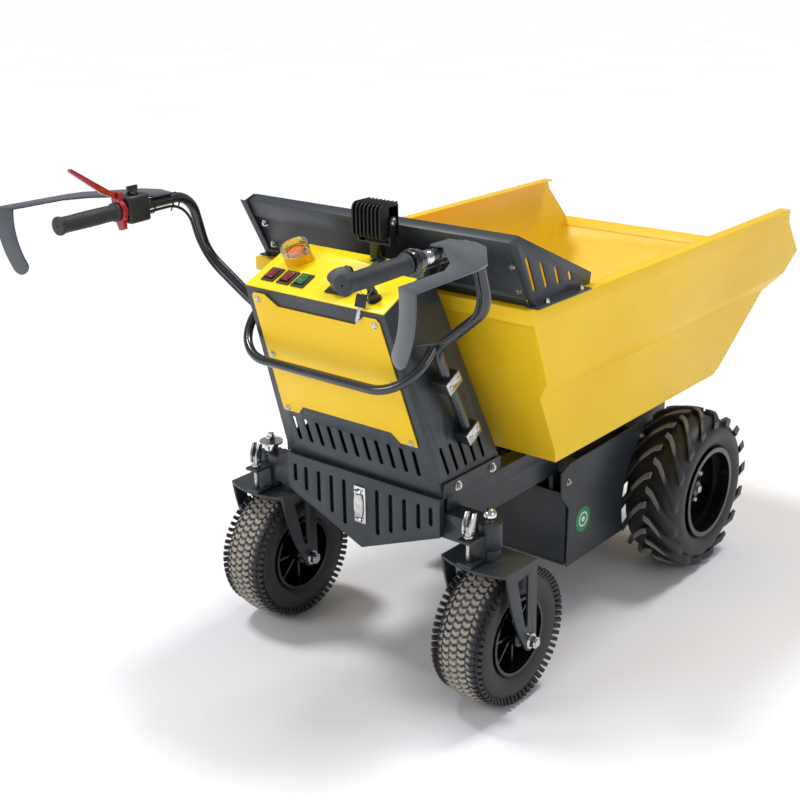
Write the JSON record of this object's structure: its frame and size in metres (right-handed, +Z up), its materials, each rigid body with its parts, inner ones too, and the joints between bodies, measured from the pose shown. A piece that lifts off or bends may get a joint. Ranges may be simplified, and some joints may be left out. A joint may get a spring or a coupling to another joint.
{
  "type": "power wheelbarrow",
  "caption": "Battery power wheelbarrow with a forward-tipping sheet tub, sloping console with hand guards, driven front wheels and lockable swivel casters.",
  "frame": {"origin": "on the ground under the middle of the machine", "axes": "+Z up, +Y the dumping direction (operator at -Y), +X the machine's right side"},
  "size_m": [1.0926, 1.851, 1.1529],
  "materials": {
    "tub_yellow": "gloss powder coat",
    "panel_yellow": "satin film on sheet",
    "charcoal_coat": "fine textured powder coat",
    "tube_coat": "gloss powder coat",
    "black_coat": "gloss black paint",
    "tyre_rubber": "moulded tread rubber",
    "grip_rubber": "moulded grip rubber",
    "pad_rubber": "plain rubber",
    "cable_jacket": "extruded jacket",
    "zinc_steel": "bright zinc plated",
    "bright_chrome": "polished chrome",
    "black_plastic": "textured moulded plastic",
    "gloss_black": "polished moulded plastic",
    "grey_plastic": "moulded lid",
    "yellow_plastic": "moulded collar",
    "orange_plastic": "moulded mushroom button",
    "red_rocker": "translucent red rocker",
    "green_rocker": "translucent green rocker",
    "clear_plastic": "clear polycarbonate",
    "red_coat": "gloss red paint",
    "cast_black": "painted casting",
    "finned_aluminium": "black anodised casting",
    "bare_aluminium": "as cast"
  },
  "bodies": {
    "root": {"chassis_frame": "charcoal_coat", "swivel_beams": "charcoal_coat", "rear_apron": "charcoal_coat", "side_plates": "charcoal_coat", "battery_pack": "charcoal_coat", "motor_controller": "bare_aluminium", "transaxle": "cast_black", "tub_rest_pads": "pad_rubber", "chassis_bolts": "zinc_steel", "console_housing": "charcoal_coat", "console_cover": "tub_yellow", "control_panel": "panel_yellow", "panel_fittings": "black_plastic", "estop_base": "yellow_plastic", "charge_socket": "gloss_black", "lamp_bracket": "black_coat", "handlebars": "tube_coat", "push_loop": "tube_coat", "tube_clamps": "black_plastic", "clamp_plates": "zinc_steel", "hand_guards": "charcoal_coat", "grip_left": "grip_rubber", "throttle_housing": "gloss_black", "switch_housing": "black_plastic", "brake_perch": "red_coat", "control_cables": "cable_jacket", "latch_base": "bright_chrome"},
    "tipping_tub": {"tub": "tub_yellow", "headboard": "charcoal_coat", "headboard_wings": "charcoal_coat", "tub_bolts": "zinc_steel"},
    "actuator_tube": {"actuator_body": "black_coat"},
    "actuator_ram": {"actuator_rod": "bright_chrome"},
    "brake": {"brake_lever": "red_coat"},
    "throttle": {"throttle_grip": "grip_rubber"},
    "mode_knob": {"mode_switch": "gloss_black"},
    "rocker_a": {"rocker_1": "red_rocker"},
    "rocker_b": {"rocker_2": "red_rocker"},
    "rocker_c": {"rocker_3": "green_rocker"},
    "key": {"ignition_key": "zinc_steel"},
    "stop_button": {"estop_button": "orange_plastic"},
    "stop_cover": {"estop_cover": "clear_plastic"},
    "inlet_lid": {"charge_lid": "grey_plastic"},
    "selector": {"selector_knob": "black_plastic"},
    "lamp": {"lamp_head": "finned_aluminium"},
    "latch": {"apron_latch": "zinc_steel"},
    "caster_left": {"caster_fork_left": "charcoal_coat", "caster_hardware_left": "bright_chrome"},
    "caster_wheel_left": {"caster_tyre_left": "tyre_rubber", "caster_rim_left": "black_coat"},
    "drive_wheel_left": {"drive_tyre_left": "tyre_rubber", "drive_rim_left": "black_coat"},
    "swivel_lock_left": {"lock_pin_left": "zinc_steel"},
    "caster_right": {"caster_fork_right": "charcoal_coat", "caster_hardware_right": "bright_chrome"},
    "caster_wheel_right": {"caster_tyre_right": "tyre_rubber", "caster_rim_right": "black_coat"},
    "drive_wheel_right": {"drive_tyre_right": "tyre_rubber", "drive_rim_right": "black_coat"},
    "swivel_lock_right": {"lock_pin_right": "zinc_steel"}
  },
  "joints": [
    {"name": "tub_tilt", "type": "hinge", "parent": "root", "child": "tipping_tub", "pos_m": [0, 0.481, 0.445], "axis": [-1, 0, 0], "range_deg": [0, 60]},
    {"name": "actuator_swing", "type": "hinge", "parent": "root", "child": "actuator_tube", "pos_m": [0, 0.06, 0.205], "axis": [1, 0, 0], "range_deg": [-0.1, 1.1]},
    {"name": "actuator_extend", "type": "slide", "parent": "actuator_tube", "child": "actuator_ram", "axis": [0, 0.6121, 0.7908], "range_m": [0, 0.222]},
    {"name": "brake_squeeze", "type": "hinge", "parent": "root", "child": "brake", "pos_m": [-0.3766, -0.744, 1.083], "axis": [1, 0, 0], "range_deg": [0, 25], "stiffness_Nm_per_rad": 0.6, "springref_deg": -20.05},
    {"name": "throttle_twist", "type": "hinge", "parent": "root", "child": "throttle", "pos_m": [0.374, -0.89, 1.0472], "axis": [0.0176, 0.9996, 0.0229], "range_deg": [0, 65], "stiffness_Nm_per_rad": 0.3, "springref_deg": -11.46},
    {"name": "mode_turn", "type": "hinge", "parent": "root", "child": "mode_knob", "pos_m": [-0.37727, -0.70408, 1.05145], "axis": [0, -0.0229, 0.9997], "range_deg": [-40, 40]},
    {"name": "key_turn", "type": "hinge", "parent": "root", "child": "key", "pos_m": [0.14, -0.54994, 0.90683], "axis": [0, 0.4067, -0.9135], "range_deg": [0, 75]},
    {"name": "stop_press", "type": "slide", "parent": "root", "child": "stop_button", "axis": [0, 0.4067, -0.9135], "range_m": [0, 0.004], "stiffness_N_per_m": 500, "springref_m": -0.003},
    {"name": "stop_cover_open", "type": "hinge", "parent": "root", "child": "stop_cover", "pos_m": [-0.0874, -0.49348, 0.95703], "axis": [0, 0.9135, 0.4067], "range_deg": [0, 100]},
    {"name": "inlet_lid_open", "type": "hinge", "parent": "root", "child": "inlet_lid", "pos_m": [0.045, -0.51647, 0.95336], "axis": [-1, 0, 0], "range_deg": [0, 105]},
    {"name": "selector_turn", "type": "hinge", "parent": "root", "child": "selector", "pos_m": [0.088, -0.4732, 0.941], "axis": [0, -0.4067, 0.9135], "range_deg": [-60, 60]},
    {"name": "lamp_tilt", "type": "hinge", "parent": "root", "child": "lamp", "pos_m": [0.0625, -0.448, 1.037], "axis": [1, 0, 0], "range_deg": [-25, 0]},
    {"name": "latch_turn", "type": "hinge", "parent": "root", "child": "latch", "pos_m": [0, -0.457, 0.3945], "axis": [0, 1, 0], "range_deg": [0, 90]},
    {"name": "rocker_press_a", "type": "hinge", "parent": "root", "child": "rocker_a", "pos_m": [-0.145, -0.54172, 0.91049], "axis": [1, 0, 0], "range_deg": [0, 14]},
    {"name": "rocker_press_b", "type": "hinge", "parent": "root", "child": "rocker_b", "pos_m": [-0.101, -0.54172, 0.91049], "axis": [1, 0, 0], "range_deg": [0, 14]},
    {"name": "rocker_press_c", "type": "hinge", "parent": "root", "child": "rocker_c", "pos_m": [-0.06, -0.54172, 0.91049], "axis": [1, 0, 0], "range_deg": [0, 14]},
    {"name": "caster_swivel_left", "type": "hinge", "parent": "root", "child": "caster_left", "pos_m": [-0.317, -0.406, 0.4], "axis": [0, 0, 1], "continuous": true},
    {"name": "caster_roll_left", "type": "hinge", "parent": "caster_left", "child": "caster_wheel_left", "pos_m": [-0.317, -0.372, 0.163], "axis": [1, 0, 0], "continuous": true},
    {"name": "drive_roll_left", "type": "hinge", "parent": "root", "child": "drive_wheel_left", "pos_m": [-0.313, 0.462, 0.208], "axis": [1, 0, 0], "continuous": true},
    {"name": "lock_pull_left", "type": "slide", "parent": "root", "child": "swivel_lock_left", "axis": [0, 0, 1], "range_m": [0, 0.018], "stiffness_N_per_m": 300, "springref_m": -0.01},
    {"name": "caster_swivel_right", "type": "hinge", "parent": "root", "child": "caster_right", "pos_m": [0.317, -0.406, 0.4], "axis": [0, 0, 1], "continuous": true},
    {"name": "caster_roll_right", "type": "hinge", "parent": "caster_right", "child": "caster_wheel_right", "pos_m": [0.317, -0.372, 0.163], "axis": [1, 0, 0], "continuous": true},
    {"name": "drive_roll_right", "type": "hinge", "parent": "root", "child": "drive_wheel_right", "pos_m": [0.313, 0.462, 0.208], "axis": [1, 0, 0], "continuous": true},
    {"name": "lock_pull_right", "type": "slide", "parent": "root", "child": "swivel_lock_right", "axis": [0, 0, 1], "range_m": [0, 0.018], "stiffness_N_per_m": 300, "springref_m": -0.01}
  ],
  "couplings": [
    {"joint": "actuator_swing", "follows": "tub_tilt", "ratio": 0.015069},
    {"joint": "actuator_extend", "follows": "tub_tilt", "m_per_rad": 0.20999}
  ]
}
